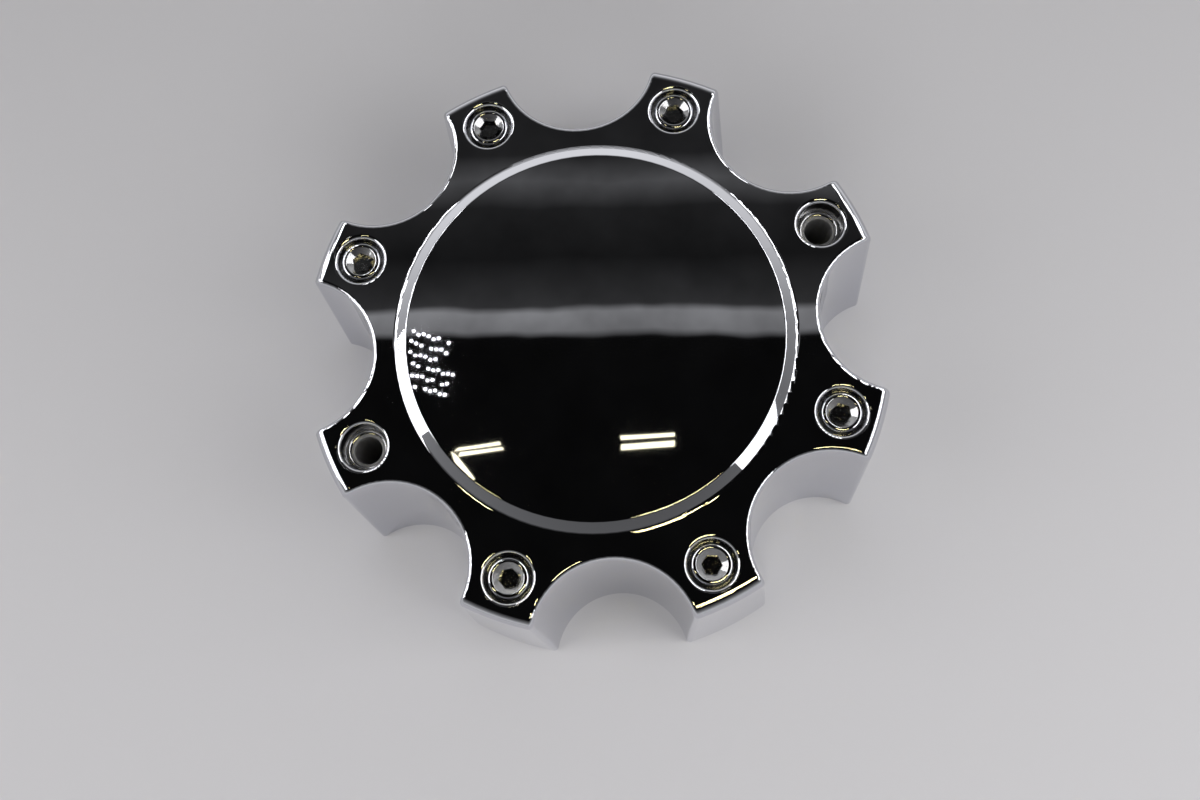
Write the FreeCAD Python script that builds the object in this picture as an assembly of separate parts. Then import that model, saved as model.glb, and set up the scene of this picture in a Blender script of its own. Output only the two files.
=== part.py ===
import FreeCAD, Part
import math
import os

V = FreeCAD.Vector

# Bolt-on centre cap for an eight-lug truck wheel: one injection-moulded,
# chrome-plated shell.  It lies on its open back rim with its face up.
# Millimetres, +Z = out of the face, z = 0 = back rim, axis of the cap = Z.
# The two screw holes lie on the X axis.

# ---------------------------------------------------------------- dimensions
N_ARMS = 8                      # arms, with a lug scallop between each two
STEP = 360.0 / N_ARMS

FACE_H = 55.7                   # back rim to outer face
DISC_RISE = 1.9                 # centre disc stands proud of the outer face
DISC_R = 50.7                   # flat of the centre disc
RING_SLOPE = 30.0               # slope of the ring round the disc, degrees
RING_R_TOP = 0.9                # convex rounding at the disc's edge
RING_R_BASE = 2.2               # concave rounding at the ring's foot

END_R_BACK = 84.2               # arm ends, at the back rim
END_R_FACE = 79.7               # arm ends, carried up to the face plane
END_ROUND = 3.2                 # rounding of the arm ends into the face

SCALLOP_C_FACE = 82.2           # scallop centre line, at the face plane
SCALLOP_R_FACE = 21.6           # scallop radius there (sharp corner)
SCALLOP_C_BACK = 85.8           # and at the back rim
SCALLOP_R_BACK = 19.8
SCALLOP_ROUND = 1.3             # rounding of every scallop edge

BOLT_R = 68.7                   # circle of the screws and imitation screws
HOLE_ARMS = (0, 4)              # arms with a real screw hole

WALL = 3.0                      # side wall
ROOF = 3.0                      # face wall
RIM_ROUND = 0.5                 # outer edge of the back rim

# imitation screws, depths below the outer face
LIP_R = 6.35                    # recess wall carried up to the face
LIP_ROUND = 1.2
GROOVE_OUT = 6.3
GROOVE_IN = 5.65
GROOVE_D = 2.6
GROOVE_ROUND = 0.3
HEAD_R = 5.45
HEAD_D = 0.7
HEAD_ROUND = 1.0
MOUTH_R = 4.2                   # dished mouth of the hex socket
MOUTH_ROUND = 0.5
MOUTH_D = 2.2
HEX_AF = 4.8
HEX_D = 3.4
PAD_R = 9.0                     # pad behind each imitation screw
PAD_D = 5.6

# screw holes
BORE_LIP_R = 6.25               # counterbore wall carried up to the face
BORE_LIP_ROUND = 1.3
SEAT_R = 5.5
SEAT_D = 6.0
SEAT_ROUND = 1.2
HOLE_R = 3.75                   # clearance for an M6 screw
HOLE_EDGE = 0.5
BOSS_HEAD_R = 9.0               # boss round the counterbore
BOSS_HEAD_D = 10.5
BOSS_R = 7.0                    # boss tube down to the back rim
RIB_T = 2.0                     # ribs that brace the boss tube
RIB_Z = 6.0                     # ribs stop this far above the rim


# ------------------------------------------------------------------- helpers
def tangent_run(a, p, b, radius):
    """Length from corner p to where its rounding starts."""
    u = (a - p).normalize()
    w = (b - p).normalize()
    half = 0.5 * math.acos(max(-1.0, min(1.0, u.dot(w))))
    return radius / math.tan(half)


def rounded_edges(points, closed):
    """Edges through (x, z, rounding) points in the XZ plane."""
    n = len(points)
    stops = []
    for i, (x, z, radius) in enumerate(points):
        p = V(x, 0, z)
        if radius <= 0 or (not closed and i in (0, n - 1)):
            stops.append((p, p, None))
            continue
        a = V(points[i - 1][0], 0, points[i - 1][1])
        b = V(points[(i + 1) % n][0], 0, points[(i + 1) % n][1])
        run = tangent_run(a, p, b, radius)
        u = (a - p).normalize()
        w = (b - p).normalize()
        half = 0.5 * math.acos(max(-1.0, min(1.0, u.dot(w))))
        mid_dir = (u + w).normalize()
        centre = p + mid_dir * (radius / math.sin(half))
        stops.append((p + u * run, p + w * run, centre - mid_dir * radius))
    edges = []
    for i in range(n):
        start, end, mid = stops[i]
        if mid is not None:
            edges.append(Part.Arc(start, mid, end).toShape())
        if i == n - 1 and not closed:
            break
        after = stops[(i + 1) % n][0]
        if end.distanceToPoint(after) > 1e-6:
            edges.append(Part.LineSegment(end, after).toShape())
    return edges


def turned(edges):
    """Solid of revolution about Z of a closed outline in the XZ plane."""
    face = Part.Face(Part.Wire(Part.__sortEdges__(edges)))
    solid = face.revolve(V(0, 0, 0), V(0, 0, 1), 360)
    if solid.Volume < 0:
        solid.reverse()
    return solid


def turned_cut(points, top):
    """Cutter turned about Z whose outline starts with a rounded lip that is
    tangent to the plane z = 0, and which is open upward to z = top."""
    lip = points[0]
    p = V(lip[0], 0, 0)
    run = tangent_run(V(lip[0] + 50, 0, 0), p,
                      V(points[1][0], 0, points[1][1]), lip[2])
    start = (lip[0] + run, 0.0, 0)
    edges = rounded_edges([start] + points, False)
    last = points[-1]
    edges.append(Part.LineSegment(V(last[0], 0, last[1]),
                                  V(0, 0, top)).toShape())
    edges.append(Part.LineSegment(V(0, 0, top),
                                  V(start[0], 0, top)).toShape())
    edges.append(Part.LineSegment(V(start[0], 0, top),
                                  V(start[0], 0, 0)).toShape())
    return turned(edges)


def on_arm(shape, k):
    """Copy of a shape made on the +X arm, turned to arm k."""
    s = shape.copy()
    s.rotate(V(0, 0, 0), V(0, 0, 1), k * STEP)
    return s


def scallop(k, grow):
    """Leaning cone that cuts lug scallop k, grown by a wall's thickness."""
    over = 0.12
    foot = V(SCALLOP_C_BACK, 0, 0)
    head = V(SCALLOP_C_FACE, 0, FACE_H)
    axis = head - foot
    r0 = SCALLOP_R_BACK + grow
    r1 = SCALLOP_R_FACE + grow
    base = foot - axis * over
    ra = r0 - (r1 - r0) * over
    rb = r1 + (r1 - r0) * over
    cone = Part.makeCone(ra, rb, axis.Length * (1 + 2 * over), base, axis)
    cone.rotate(V(0, 0, 0), V(0, 0, 1), (k + 0.5) * STEP)
    return cone


def cone_edges(shape, z_low, z_high):
    """Edges of the scallop walls, without those in the two given planes."""
    found = []
    seen = set()
    for f in shape.Faces:
        if not isinstance(f.Surface, Part.Cone):
            continue
        axis = f.Surface.Axis
        if abs(axis.x) + abs(axis.y) < 1e-4:
            continue
        for e in f.Edges:
            zs = [v.Point.z for v in e.Vertexes]
            if all(abs(z - z_low) < 1e-4 for z in zs):
                continue
            if z_high is not None and all(abs(z - z_high) < 1e-4 for z in zs):
                continue
            key = e.hashCode()
            if key not in seen:
                seen.add(key)
                found.append(e)
    return found


# ---------------------------------------------------------------- outer form
disc_h = FACE_H + DISC_RISE
slope = math.radians(RING_SLOPE)
ring_top = DISC_R + RING_R_TOP * math.tan(slope / 2)
ring_foot = ring_top + DISC_RISE / math.tan(slope)

outer = turned(rounded_edges([
    (0, 0, 0),
    (END_R_BACK, 0, 0),
    (END_R_FACE, FACE_H, END_ROUND),
    (ring_foot, FACE_H, RING_R_BASE),
    (ring_top, disc_h, RING_R_TOP),
    (0, disc_h, 0)], True))
outer = outer.cut([scallop(k, 0.0) for k in range(N_ARMS)])
outer = outer.makeFillet(SCALLOP_ROUND, cone_edges(outer, 0.0, None))
rim_edges = [e for e in outer.Edges
             if all(abs(v.Point.z) < 1e-4 for v in e.Vertexes)]
outer = outer.makeFillet(RIM_ROUND, rim_edges)

# -------------------------------------------------------------- inner hollow
end_draft = (END_R_BACK - END_R_FACE) / FACE_H
roof_h = FACE_H - ROOF
low = -2.0
inner = turned(rounded_edges([
    (0, low, 0),
    (END_R_BACK - WALL - low * end_draft, low, 0),
    (END_R_BACK - WALL - roof_h * end_draft, roof_h, 1.5),
    (ring_foot - 1.2, roof_h, 1.2),
    (ring_top - 1.2, roof_h + DISC_RISE, 1.2),
    (0, roof_h + DISC_RISE, 0)], True))
inner = inner.cut([scallop(k, WALL) for k in range(N_ARMS)])
inner = inner.makeFillet(1.5, cone_edges(inner, low, None))

pad = Part.makeCylinder(PAD_R, 40, V(BOLT_R, 0, FACE_H - PAD_D))
boss = Part.makeCylinder(BOSS_HEAD_R, 40, V(BOLT_R, 0, FACE_H - BOSS_HEAD_D))
boss = boss.fuse(Part.makeCylinder(BOSS_R, FACE_H, V(BOLT_R, 0, 0)))
rib_across = Part.makeBox(RIB_T, 60, FACE_H - RIB_Z,
                          V(BOLT_R - RIB_T / 2, -30, RIB_Z))
rib_out = Part.makeBox(30, RIB_T, FACE_H - RIB_Z,
                       V(BOLT_R, -RIB_T / 2, RIB_Z))
boss = boss.fuse([rib_across, rib_out]).removeSplitter()
inner = inner.cut([on_arm(boss if k in HOLE_ARMS else pad, k)
                   for k in range(N_ARMS)])

cap = outer.cut(inner)

# ------------------------------------------- imitation screws and screw holes
recess = turned_cut([
    (LIP_R, 0, LIP_ROUND),
    (GROOVE_OUT, -GROOVE_D, GROOVE_ROUND),
    (GROOVE_IN, -GROOVE_D, GROOVE_ROUND),
    (HEAD_R, -HEAD_D, HEAD_ROUND),
    (MOUTH_R, -HEAD_D, MOUTH_ROUND),
    (HEX_AF / 2 - 0.1, -MOUTH_D, 0),
    (0, -MOUTH_D, 0)], 3.0)
hexagon = [V(HEX_AF / math.sqrt(3) * math.cos(math.radians(60 * i)),
             HEX_AF / math.sqrt(3) * math.sin(math.radians(60 * i)),
             -HEX_D) for i in range(7)]
socket = Part.Face(Part.makePolygon(hexagon)).extrude(V(0, 0, HEX_D - 0.9))
socket = socket.makeFillet(0.35, [e for e in socket.Edges
                                  if abs(e.Vertexes[0].Point.z -
                                         e.Vertexes[1].Point.z) > 1.0])
recess = recess.fuse(socket)
recess.translate(V(BOLT_R, 0, FACE_H))

bore = turned_cut([
    (BORE_LIP_R, 0, BORE_LIP_ROUND),
    (SEAT_R, -SEAT_D, SEAT_ROUND),
    (HOLE_R, -SEAT_D, HOLE_EDGE),
    (HOLE_R, -FACE_H - 5.0, 0),
    (0, -FACE_H - 5.0, 0)], 3.0)
bore.translate(V(BOLT_R, 0, FACE_H))

cap = cap.cut([on_arm(bore if k in HOLE_ARMS else recess, k)
               for k in range(N_ARMS)])

# -------------------------------------------------------------------- output
solids = cap.Solids
cap = solids[0] if len(solids) == 1 else cap
os.makedirs("parts", exist_ok=True)
cap.exportStep("parts/center_cap.step")

box = cap.BoundBox
print("solids", len(solids), "valid", cap.isValid(),
      "volume cm3", round(cap.Volume / 1000.0, 2),
      "faces", len(cap.Faces))
print("box", [round(v, 2) for v in (box.XMin, box.XMax, box.YMin, box.YMax,
                                    box.ZMin, box.ZMax)])
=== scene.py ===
import math
import bpy
import numpy as np
from mathutils import Matrix, Vector


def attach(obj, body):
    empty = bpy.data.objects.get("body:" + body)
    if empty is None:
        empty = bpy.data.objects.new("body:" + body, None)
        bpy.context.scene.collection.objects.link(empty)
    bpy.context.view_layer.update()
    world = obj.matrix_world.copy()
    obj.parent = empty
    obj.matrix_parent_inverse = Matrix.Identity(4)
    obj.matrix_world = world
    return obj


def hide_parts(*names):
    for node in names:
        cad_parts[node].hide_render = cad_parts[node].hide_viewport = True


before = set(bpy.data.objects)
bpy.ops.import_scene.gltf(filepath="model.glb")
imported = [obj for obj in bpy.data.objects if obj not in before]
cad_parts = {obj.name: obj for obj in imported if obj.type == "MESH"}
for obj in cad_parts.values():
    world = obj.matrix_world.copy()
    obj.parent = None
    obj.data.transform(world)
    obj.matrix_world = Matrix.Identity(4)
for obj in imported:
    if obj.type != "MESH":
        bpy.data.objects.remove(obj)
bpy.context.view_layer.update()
scene = bpy.context.scene

MM = 0.001
TURN = math.radians(-26.445)          # view frame -> part frame, about Z
FACE_Z = 55.7
RZ = Matrix.Rotation(TURN, 4, "Z")


def at(x, y, z):
    """Point given in the view's frame (mm, z above the face) in the part's frame (m)."""
    return RZ @ Vector((x * MM, y * MM, (z + FACE_Z) * MM))


# ------------------------------------------------------------------- camera
cam_data = bpy.data.cameras.new("camera")
cam_data.sensor_width = 36.0
cam_data.lens = 1131.3 * 36.0 / 1200.0
cam_data.clip_start = 0.01
cam_data.clip_end = 50.0
cam = bpy.data.objects.new("camera", cam_data)
scene.collection.objects.link(cam)
w = Vector((math.radians(-13.08), math.radians(-3.29), 0.0))
Rw = Matrix.Rotation(w.length, 3, w.normalized())
t = Vector((-1.43, 17.18, -292.3)) * 1.041
loc = -(Rw.transposed() @ t)
cam.matrix_world = Matrix.Translation(at(loc.x, loc.y, loc.z)) @ RZ @ Rw.transposed().to_4x4()
scene.camera = cam


# ------------------------------------------------------------- node building
class Tree:
    """Short hand for one material's or world's nodes."""

    def __init__(self, owner):
        owner.use_nodes = True
        self.nt = owner.node_tree

    def new(self, kind, **props):
        n = self.nt.nodes.new(kind)
        for key, value in props.items():
            setattr(n, key, value)
        return n

    def put(self, value, socket):
        if hasattr(value, "is_output"):
            self.nt.links.new(value, socket)
        elif isinstance(value, tuple) and len(value) == 3 and socket.type == "RGBA":
            socket.default_value = (*value, 1)
        else:
            socket.default_value = value

    def math(self, op, a, b=None, c=None, clamp=False):
        n = self.new("ShaderNodeMath", operation=op, use_clamp=clamp)
        for i, v in enumerate((a, b, c)):
            if v is not None:
                self.put(v, n.inputs[i])
        return n.outputs[0]

    def between(self, v, lo, hi):
        """0 below lo, 1 above hi, smooth between."""
        n = self.new("ShaderNodeMapRange", interpolation_type="SMOOTHSTEP")
        self.put(v, n.inputs["Value"])
        n.inputs["From Min"].default_value = lo
        n.inputs["From Max"].default_value = hi
        return n.outputs["Result"]

    def ramp(self, value, stops, interpolation="LINEAR"):
        n = self.new("ShaderNodeValToRGB")
        n.color_ramp.interpolation = interpolation
        els = n.color_ramp.elements
        while len(els) > 1:
            els.remove(els[-1])
        for i, (p, c) in enumerate(stops):
            e = els[0] if i == 0 else els.new(p)
            e.position = p
            c = c if isinstance(c, tuple) else (c, c, c)
            e.color = (*c, 1)
        self.put(value, n.inputs[0])
        return n.outputs[0]

    def mix(self, k, a, b, blend="MIX"):
        n = self.new("ShaderNodeMix", data_type="RGBA", blend_type=blend)
        self.put(k, n.inputs[0])
        self.put(a, n.inputs[6])
        self.put(b, n.inputs[7])
        return n.outputs[2]

    def noise(self, vector, scale, detail=2.0, rough=0.5):
        n = self.new("ShaderNodeTexNoise")
        self.put(vector, n.inputs["Vector"])
        n.inputs["Scale"].default_value = scale
        n.inputs["Detail"].default_value = detail
        n.inputs["Roughness"].default_value = rough
        return n.outputs["Fac"]


# ---------------------------------------------------------------- materials
def chrome():
    m = bpy.data.materials.new("chrome_plating")
    t = Tree(m)
    b = t.nt.nodes["Principled BSDF"]
    b.inputs["Metallic"].default_value = 1.0
    obj = t.new("ShaderNodeTexCoord").outputs["Object"]
    sep = t.new("ShaderNodeSeparateXYZ")
    t.put(obj, sep.inputs[0])
    low = t.between(sep.outputs["Z"], 0.053, 0.010)
    cloud = t.noise(obj, 60.0, 3.0)
    tint = t.mix(cloud, (0.615, 0.622, 0.668), (0.645, 0.650, 0.690))
    # plating is a little greyer down the side walls
    t.put(t.mix(low, tint, (0.60, 0.61, 0.665)), b.inputs["Base Color"])
    haze = t.math("MULTIPLY", t.noise(obj, 140.0, 4.0, 0.6), 0.016)
    rough = t.math("MULTIPLY_ADD", low, 0.07, haze)
    t.put(t.math("ADD", rough, 0.008), b.inputs["Roughness"])
    # long soft waves of the moulding, and hardly any orange peel
    bump = t.new("ShaderNodeBump")
    bump.inputs["Strength"].default_value = 1.0
    bump.inputs["Distance"].default_value = 0.000012
    t.put(t.noise(obj, 38.0, 1.0), bump.inputs["Height"])
    t.put(bump.outputs[0], b.inputs["Normal"])
    return m


def dull(name, base, rough, metal):
    m = bpy.data.materials.new(name)
    t = Tree(m)
    b = t.nt.nodes["Principled BSDF"]
    obj = t.new("ShaderNodeTexCoord").outputs["Object"]
    n = t.noise(obj, 90.0, 4.0, 0.65)
    dark = tuple(0.78 * v for v in base)
    t.put(t.mix(n, dark, base), b.inputs["Base Color"])
    b.inputs["Metallic"].default_value = metal
    t.put(t.math("MULTIPLY_ADD", n, 0.14, rough - 0.07), b.inputs["Roughness"])
    bump = t.new("ShaderNodeBump")
    bump.inputs["Strength"].default_value = 0.25
    bump.inputs["Distance"].default_value = 0.0002
    t.put(t.noise(obj, 700.0, 2.0), bump.inputs["Height"])
    t.put(bump.outputs[0], b.inputs["Normal"])
    return m


# ---------------------------------------------------------- the moulded shell
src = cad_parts["center_cap"]
me = src.data.copy()
me.name = "cap_shell"
shell = bpy.data.objects.new("cap_shell", me)
scene.collection.objects.link(shell)
shell.matrix_world = src.matrix_world.copy()

count = len(me.polygons)
mid = np.empty(count * 3, np.float32)
me.polygons.foreach_get("center", mid)
mid = mid.reshape(-1, 3).astype(np.float64)
M = np.array(src.matrix_world)
P = (mid @ M[:3, :3].T + M[:3, 3]) / MM           # face centres, mm, part frame

r = np.hypot(P[:, 0], P[:, 1])
end_gap = np.abs(r - (84.2 - 4.5 * P[:, 2] / 55.7))
cone_gap = np.full(count, 1e9)
for k in range(8):
    a = math.radians(45 * k + 22.5)
    foot = np.array([85.8 * math.cos(a), 85.8 * math.sin(a), 0.0])
    head = np.array([82.2 * math.cos(a), 82.2 * math.sin(a), 55.7])
    axis = head - foot
    length = np.linalg.norm(axis)
    u = axis / length
    d = P - foot
    along = d @ u
    away = np.linalg.norm(d - np.outer(along, u), axis=1)
    cone_gap = np.minimum(cone_gap, np.abs(away - (19.8 + 1.8 * along / length)))
arm = np.round(np.degrees(np.arctan2(P[:, 1], P[:, 0])) / 45.0) * math.radians(45)
bolt = np.hypot(P[:, 0] - 68.7 * np.cos(arm), P[:, 1] - 68.7 * np.sin(arm))
is_hole = np.abs(np.sin(arm)) < 0.1
outside = (np.minimum(end_gap, cone_gap) < 1.0) | (P[:, 2] > 54.6) & (r > 54.5) | (P[:, 2] > 55.4)
in_recess = (bolt < 8.0) & (P[:, 2] > np.where(is_hole, 49.0, 51.6))
tube = is_hole & (bolt < 4.6) & (P[:, 2] <= 50.3)
index = np.where(outside | in_recess, 0, 1)
verts = np.empty(len(me.vertices) * 3, np.float32)
me.vertices.foreach_get("co", verts)
verts = (verts.reshape(-1, 3).astype(np.float64) @ M[:3, :3].T + M[:3, 3]) / MM
corner = np.empty(len(me.loops), np.int32)
me.loops.foreach_get("vertex_index", corner)
first = np.empty(count, np.int32)
me.polygons.foreach_get("loop_start", first)
owner = np.repeat(np.arange(count), np.diff(np.append(first, len(corner))))
q = verts[corner]
q_bolt = np.hypot(q[:, 0] - 68.7 * np.cos(arm[owner]), q[:, 1] - 68.7 * np.sin(arm[owner]))
far = np.maximum.reduceat(q_bolt, first)
close = np.minimum.reduceat(q_bolt, first)
top = np.maximum.reduceat(q[:, 2], first)
# whole rings of the profile: the dish and hex, the groove, and the counterbore; they get a hazier plating whose
# darker base colour is partly duller thin plating and partly painted shade in these recesses
shade_painted_rings = in_recess & np.where(is_hole, top < 54.75, (far < 4.3) & (top < 54.97) | (close > 5.3) & (top < 54.75))
index = np.where(shade_painted_rings, 2, index)
index = np.where(tube, 3, index)
me.materials.clear()
me.materials.append(chrome())
me.materials.append(dull("thin_plating_inside", (0.50, 0.505, 0.53), 0.30, 1.0))
# darker base colour here is painted shade in the sockets, grooves and counterbores, on top of a hazier, duller
# plating
me.materials.append(dull("socket_plating_and_painted_shade", (0.44, 0.44, 0.45), 0.12, 1.0))
me.materials.append(dull("bare_bore", (0.32, 0.317, 0.315), 0.46, 0.25))
me.polygons.foreach_set("material_index", index.astype(np.int32))
me.update()

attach(shell, "root")
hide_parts("center_cap")


# -------------------------------------------------------------------- floor
def plane(name, size, z, mat):
    me = bpy.data.meshes.new(name)
    s = size / 2
    me.from_pydata([(-s, -s, z), (s, -s, z), (s, s, z), (-s, s, z)], [], [(0, 1, 2, 3)])
    me.materials.append(mat)
    o = bpy.data.objects.new(name, me)
    scene.collection.objects.link(o)
    return o


fm = bpy.data.materials.new("floor_paper")
ft = Tree(fm)
fb = ft.nt.nodes["Principled BSDF"]
fb.inputs["Base Color"].default_value = (0.69, 0.685, 0.705, 1)
fb.inputs["Roughness"].default_value = 0.8
floor = plane("floor", 8.0, -0.0002, fm)


# ------------------------------------------------------------------- lights
def area(name, pos, target, size, size_y, power, color, glossy=False):
    d = bpy.data.lights.new(name, "AREA")
    d.shape = "RECTANGLE"
    d.size = size
    d.size_y = size_y
    d.energy = power
    d.color = color
    o = bpy.data.objects.new(name, d)
    o.location = pos
    o.rotation_euler = (Vector(target) - Vector(pos)).to_track_quat("-Z", "Y").to_euler()
    scene.collection.objects.link(o)
    o.visible_glossy = glossy
    return o


area("soft_right", at(560, -170, 400), at(0, -110, -55), 0.4, 0.6, 1.9, (1, 0.99, 0.985))
area("soft_left", at(-560, -170, 400), at(0, -110, -55), 0.4, 0.6, 1.35, (1, 0.985, 0.99))
area("soft_front", at(60, -760, 420), at(0, -60, -55), 0.6, 0.4, 2.1, (1, 0.99, 0.985))
area("soft_top", at(140, -160, 1150), at(60, -100, -55), 1.2, 1.2, 2.9, (1, 0.99, 0.985))


def glow(name, color, strength):
    m = bpy.data.materials.new(name)
    m.cycles.emission_sampling = "NONE"
    t = Tree(m)
    t.nt.nodes.remove(t.nt.nodes["Principled BSDF"])
    e = t.new("ShaderNodeEmission")
    e.inputs["Color"].default_value = (*color, 1)
    e.inputs["Strength"].default_value = strength
    t.nt.links.new(e.outputs[0], t.nt.nodes["Material Output"].inputs[0])
    return m


def lamp_mesh(name, quads, mat):
    """Small glowing plates of the studio, seen only in reflections."""
    verts, faces = [], []
    for q in quads:
        n = len(verts)
        verts += [tuple(v) for v in q]
        faces.append(tuple(range(n, n + len(q))))
    me = bpy.data.meshes.new(name)
    me.from_pydata(verts, [], faces)
    me.materials.append(mat)
    o = bpy.data.objects.new(name, me)
    scene.collection.objects.link(o)
    o.visible_camera = False
    o.visible_diffuse = False
    o.visible_shadow = False
    return o


def light_wall(name, az0, az1, el0, el1, radius, pitch, fill, mat):
    """Upright light strips, side by side on an arc round the cap."""
    quads = []
    n = int(round((az1 - az0) / pitch))
    for i in range(n):
        a = math.radians(az0 + pitch * (i + 0.5))
        h = math.radians(0.5 * pitch * fill)
        ring = []
        for el, s in ((el0, -1), (el0, 1), (el1, 1), (el1, -1)):
            ring.append(at(radius * math.cos(a + s * h), radius * math.sin(a + s * h),
                           radius * math.tan(math.radians(el))))
        quads.append(ring)
    return lamp_mesh(name, quads, mat)


led = glow("led", (1.0, 1.0, 1.0), 5.0)
light_wall("light_wall_right", -34, 16, 26, 46, 400, 0.7, 0.55, led)
light_wall("light_wall_right_mid", 16, 41, 26, 46, 400, 5.0, 0.60, led)
light_wall("light_wall_right_far", 41, 66, 34, 48, 400, 5.0, 0.60, led)
light_wall("light_wall_left", 164, 196, 13.8, 46, 400, 0.7, 0.55, led)
light_wall("light_wall_left_mid", 149, 164, 13.8, 46, 400, 5.0, 0.60, led)
light_wall("light_wall_left_far", 124, 149, 34, 48, 400, 5.0, 0.60, led)


def on_face(x, y, h):
    """Overhead point at height h that the flat face mirrors at (x, y)."""
    k = h / loc.z
    return at(x * (1 + k) - loc.x * k, y * (1 + k) - loc.y * k, h)


warm = glow("tube_lamp", (1.0, 0.93, 0.62), 3.0)
bars = []
for pts in (((7.0, -28.0), (21.4, -27.4), (21.4, -28.4), (7.1, -29.2)),
            ((7.2, -30.4), (21.4, -29.5), (21.3, -31.1), (7.2, -32.0)),
            ((-35.8, -31.2), (-24.7, -29.4), (-24.2, -30.3), (-37.0, -32.2)),
            ((-35.4, -32.4), (-23.9, -30.9), (-23.4, -31.7), (-35.7, -33.6))):
    bars.append([on_face(x, y, 1800) for x, y in pts])
bars.append([on_face(x, y, 1800) for x, y in ((-37.7, -32.2), (-36.4, -33.0), (-31.0, -39.6), (-32.6, -40.4), (-36.2, -36.4))])
lamp_mesh("tube_lamps", bars, warm)
near = []
for x0, x1, y0, y1 in ((26, 92, -102, -107), (28, 96, -122, -127), (-100, -62, -108, -113), (30, 84, -153, -158)):
    near.append([on_face(x, y, 1800) for x, y in ((x0, y1), (x1, y1), (x1, y0), (x0, y0))])
lamp_mesh("tube_lamps_near", near, glow("tube_lamp_near", (1.0, 0.88, 0.42), 20.0))

# a small board of lamps high on the left
dots = []
for row in range(6):
    for i in range(9 - row % 3):
        x = -50.3 + 1.35 * i + 0.5 * (row % 2) + 0.35 * row
        y = 1.2 - 3.1 * row - 0.42 * i + 0.35 * math.sin(2.3 * i + row)
        if (5 * row + 3 * i) % 7 == 0 or math.hypot(x, y) > 50.6:
            continue
        dots.append([on_face(x + 0.42 * math.cos(a), y + 0.36 * math.sin(a), 1500)
                     for a in [math.pi * q / 4 for q in range(8)]])
lamp_mesh("lamp_board", dots, glow("lamp_board", (1.0, 1.0, 1.0), 9.0))

# -------------------------------------------------------------------- world
# The surroundings are set out by the place on the flat face where they mirror:
# fx, fy in millimetres, in the view's frame.
world = bpy.data.worlds.new("studio")
scene.world = world
W = Tree(world)
bg = W.nt.nodes["Background"]
vr = W.new("ShaderNodeVectorRotate", rotation_type="Z_AXIS")
vr.inputs["Angle"].default_value = -TURN
W.put(W.new("ShaderNodeTexCoord").outputs["Generated"], vr.inputs["Vector"])
sx = W.new("ShaderNodeSeparateXYZ")
W.put(vr.outputs[0], sx.inputs[0])
z = sx.outputs["Z"]
zpos = W.math("MAXIMUM", z, 0.05)
fx = W.math("MULTIPLY_ADD", W.math("DIVIDE", sx.outputs["X"], zpos), loc.z, loc.x)
fy = W.math("MULTIPLY_ADD", W.math("DIVIDE", sx.outputs["Y"], zpos), loc.z, loc.y)
spot = W.new("ShaderNodeCombineXYZ")
W.put(fx, spot.inputs[0])
W.put(fy, spot.inputs[1])
spot = spot.outputs[0]

# dark ceiling, one pale band, and a dark panel that lightens upward
wob = W.math("MULTIPLY_ADD", W.noise(spot, 0.035, 2.0), 5.0, -2.5)
pos = W.math("DIVIDE", W.math("ADD", W.math("ADD", fy, wob), 10.0), 80.0, clamp=True)


def fr(y):
    return (y + 10.0) / 80.0


panel = W.ramp(pos, [(0.0, 0.004), (fr(-1.0), 0.004), (fr(1.0), 0.22), (fr(6.0), 0.28), (fr(8.0), 0.04),
                     (fr(22.0), 0.012), (fr(36.0), 0.02), (fr(44.0), 0.10), (fr(52.0), 0.02), (1.0, 0.02)])
# soft unevenness, so that the panel isn't one flat tone
drift = W.math("MULTIPLY_ADD", W.noise(spot, 0.05, 3.0, 0.55), 1.2, 0.4)
high = W.mix(1.0, panel, drift, "MULTIPLY")

low = W.ramp(z, [(0.0, 0.70), (0.09, 0.74), (0.3, 0.40), (0.45, 0.22), (0.6, 0.13), (0.75, 0.05), (0.85, 0.02), (1.0, 0.004)])
back = W.math("MULTIPLY", W.between(sx.outputs["Y"], 0.25, 0.8), W.between(z, 0.72, 0.40))
low = W.mix(1.0, low, W.math("MULTIPLY", back, 0.26), "ADD")
kz = W.math("DIVIDE", W.math("SUBTRACT", z, 0.74), 0.10, clamp=True)
W.put(W.mix(kz, low, high), bg.inputs["Color"])
bg.inputs["Strength"].default_value = 1.0

scene.view_settings.view_transform = "Standard"
